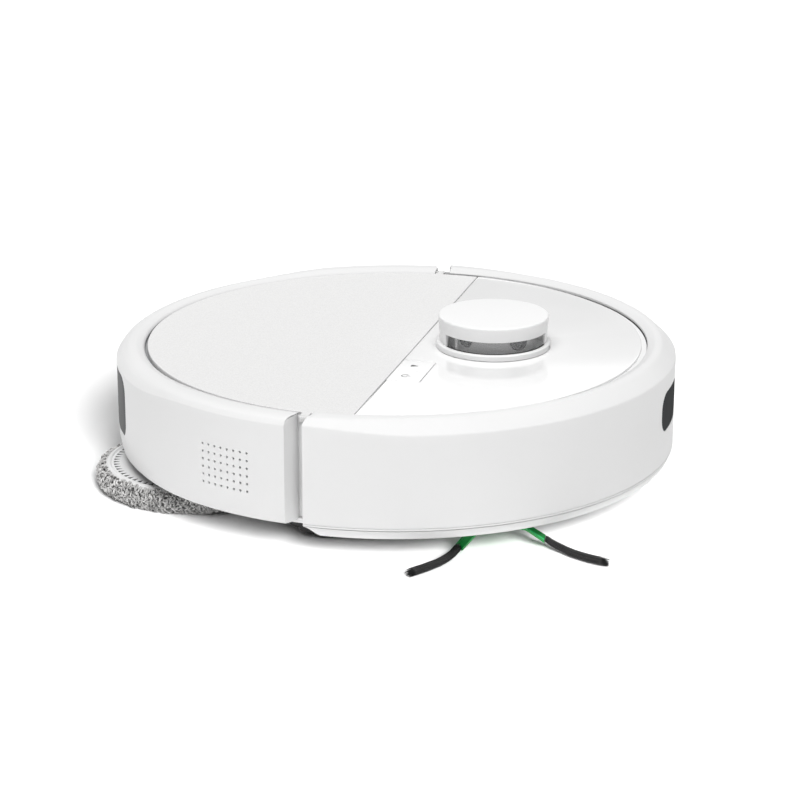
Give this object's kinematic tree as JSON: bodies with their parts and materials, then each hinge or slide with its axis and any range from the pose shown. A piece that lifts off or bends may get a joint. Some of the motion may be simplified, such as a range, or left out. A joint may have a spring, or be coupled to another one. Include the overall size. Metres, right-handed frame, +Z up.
{
  "type": "robot vacuum",
  "caption": "Round robot vacuum and mop with a laser turret, split bumper ring, lift-up rear lid, driven wheels, side brush and a mop pad that swings out past the body.",
  "frame": {"origin": "centre of the round body at floor level", "axes": "+X towards the front bumper, +Y to the robot's left, +Z up"},
  "size_m": [0.35, 0.3536, 0.1046],
  "materials": {
    "white_shell": "satin",
    "gloss_deck": "gloss",
    "woven_lid": "fine woven texture",
    "dark_plastic": "matte",
    "inner_grey": "matte",
    "smoked_clear": "smoked",
    "rubber": "matte",
    "green_plastic": "satin",
    "steel": "brushed",
    "microfibre": "looped pile",
    "black_bristle": "fibre",
    "filter_paper": "pleated"
  },
  "bodies": {
    "chassis": {"base_plate": "white_shell", "chassis_wall": "white_shell", "mid_frame": "inner_grey", "top_deck": "gloss_deck", "rear_shell": "white_shell", "rear_window": "smoked_clear", "turret_cover": "white_shell", "turret_window": "smoked_clear", "lidar_base": "inner_grey", "battery_pack": "dark_plastic", "main_board": "green_plastic", "speaker": "dark_plastic", "fan_housing": "inner_grey", "water_tank": "smoked_clear", "brush_tunnel": "dark_plastic", "brush_cage": "dark_plastic", "brush_motor": "steel", "side_brush_motor": "steel", "mop_motor_left": "steel", "cliff_sensor_front": "smoked_clear", "cliff_sensor_left": "smoked_clear", "cliff_sensor_right": "smoked_clear", "charge_contact_left": "steel", "charge_contact_right": "steel"},
    "lid": {"lid_panel": "woven_lid"},
    "bin": {"dust_bin": "smoked_clear", "bin_filter": "filter_paper"},
    "bin_bail": {"bin_handle": "white_shell"},
    "laser_head": {"lidar_rotor": "white_shell", "lidar_lens_emitter": "smoked_clear", "lidar_lens_receiver": "smoked_clear"},
    "fan": {"fan_impeller": "dark_plastic"},
    "bumper": {"bumper_shell": "white_shell", "bumper_trim": "white_shell", "front_window": "smoked_clear"},
    "caster": {"caster_fork": "dark_plastic", "caster_axle": "steel"},
    "caster_roller": {"caster_wheel": "rubber"},
    "drive_left": {"wheel_arm_left": "inner_grey", "wheel_motor_left": "steel"},
    "wheel_left": {"wheel_hub_left": "dark_plastic", "tyre_left": "rubber"},
    "drive_right": {"wheel_arm_right": "inner_grey", "wheel_motor_right": "steel"},
    "wheel_right": {"wheel_hub_right": "dark_plastic", "tyre_right": "rubber"},
    "main_brush": {"brush_roller": "green_plastic"},
    "side_brush": {"side_brush_arms": "green_plastic", "side_bristles_1": "black_bristle", "side_bristles_2": "black_bristle", "side_bristles_3": "black_bristle"},
    "mop_swing_arm": {"mop_arm": "inner_grey", "mop_motor_right": "steel"},
    "mop_right": {"mop_plate_right": "white_shell", "mop_pad_right": "microfibre"},
    "mop_left": {"mop_plate_left": "white_shell", "mop_pad_left": "microfibre"},
    "power_key": {"button_power": "gloss_deck"},
    "spot_key": {"button_spot": "gloss_deck"}
  },
  "joints": [
    {"name": "bumper_press", "type": "slide", "parent": "chassis", "child": "bumper", "axis": [-1, 0, 0], "range_m": [0, 0.003], "stiffness_N_per_m": 600},
    {"name": "lid_flip", "type": "hinge", "parent": "chassis", "child": "lid", "pos_m": [0.0161, 0, 0.0837], "axis": [0, 1, 0], "range_deg": [0, 80]},
    {"name": "bin_lift", "type": "slide", "parent": "chassis", "child": "bin", "axis": [0, 0, 1], "range_m": [0, 0.045]},
    {"name": "handle_raise", "type": "hinge", "parent": "bin", "child": "bin_bail", "pos_m": [-0.083, 0, 0.0768], "axis": [0, -1, 0], "range_deg": [0, 90]},
    {"name": "laser_spin", "type": "hinge", "parent": "chassis", "child": "laser_head", "pos_m": [0.0625, 0, 0.09], "axis": [0, 0, 1], "continuous": true},
    {"name": "fan_spin", "type": "hinge", "parent": "chassis", "child": "fan", "pos_m": [-0.002, 0.04, 0.06], "axis": [0, 0, 1], "continuous": true},
    {"name": "caster_swivel", "type": "hinge", "parent": "chassis", "child": "caster", "pos_m": [0.118, 0, 0.02], "axis": [0, 0, 1], "continuous": true},
    {"name": "caster_roll", "type": "hinge", "parent": "caster", "child": "caster_roller", "pos_m": [0.111, 0, 0.013], "axis": [0, 1, 0], "continuous": true},
    {"name": "suspension_left", "type": "hinge", "parent": "chassis", "child": "drive_left", "pos_m": [0.038, 0.1135, 0.03], "axis": [0, 1, 0], "range_deg": [-22, 0]},
    {"name": "wheel_roll_left", "type": "hinge", "parent": "drive_left", "child": "wheel_left", "pos_m": [-0.007, 0.1295, 0.036], "axis": [0, 1, 0], "continuous": true},
    {"name": "suspension_right", "type": "hinge", "parent": "chassis", "child": "drive_right", "pos_m": [0.038, -0.1135, 0.03], "axis": [0, 1, 0], "range_deg": [-22, 0]},
    {"name": "wheel_roll_right", "type": "hinge", "parent": "drive_right", "child": "wheel_right", "pos_m": [-0.007, -0.1295, 0.036], "axis": [0, 1, 0], "continuous": true},
    {"name": "brush_roll", "type": "hinge", "parent": "chassis", "child": "main_brush", "pos_m": [0.022, 0, 0.0215], "axis": [0, 1, 0], "continuous": true},
    {"name": "side_brush_spin", "type": "hinge", "parent": "chassis", "child": "side_brush", "pos_m": [0.09194, -0.11853, 0.012], "axis": [0, 0, 1], "continuous": true},
    {"name": "mop_swing", "type": "hinge", "parent": "chassis", "child": "mop_swing_arm", "pos_m": [-0.1028, -0.10315, 0.027], "axis": [0, 0, 1], "range_deg": [-31.1, 0]},
    {"name": "mop_spin_right", "type": "hinge", "parent": "mop_swing_arm", "child": "mop_right", "pos_m": [-0.109, -0.0642, 0.016], "axis": [0, 0, 1], "continuous": true},
    {"name": "mop_spin_left", "type": "hinge", "parent": "chassis", "child": "mop_left", "pos_m": [-0.088, 0.0666, 0.016], "axis": [0, 0, 1], "continuous": true},
    {"name": "power_press", "type": "slide", "parent": "chassis", "child": "power_key", "axis": [0, 0, -1], "range_m": [0, 0.0007], "stiffness_N_per_m": 400},
    {"name": "spot_press", "type": "slide", "parent": "chassis", "child": "spot_key", "axis": [0, 0, -1], "range_m": [0, 0.0007], "stiffness_N_per_m": 400}
  ],
  "couplings": [
    {"joint": "bin_lift", "follows": "lid_flip", "m_per_rad": 0.0322},
    {"joint": "handle_raise", "follows": "lid_flip", "ratio": 1.12},
    {"joint": "mop_spin_left", "follows": "mop_spin_right", "ratio": -1}
  ]
}
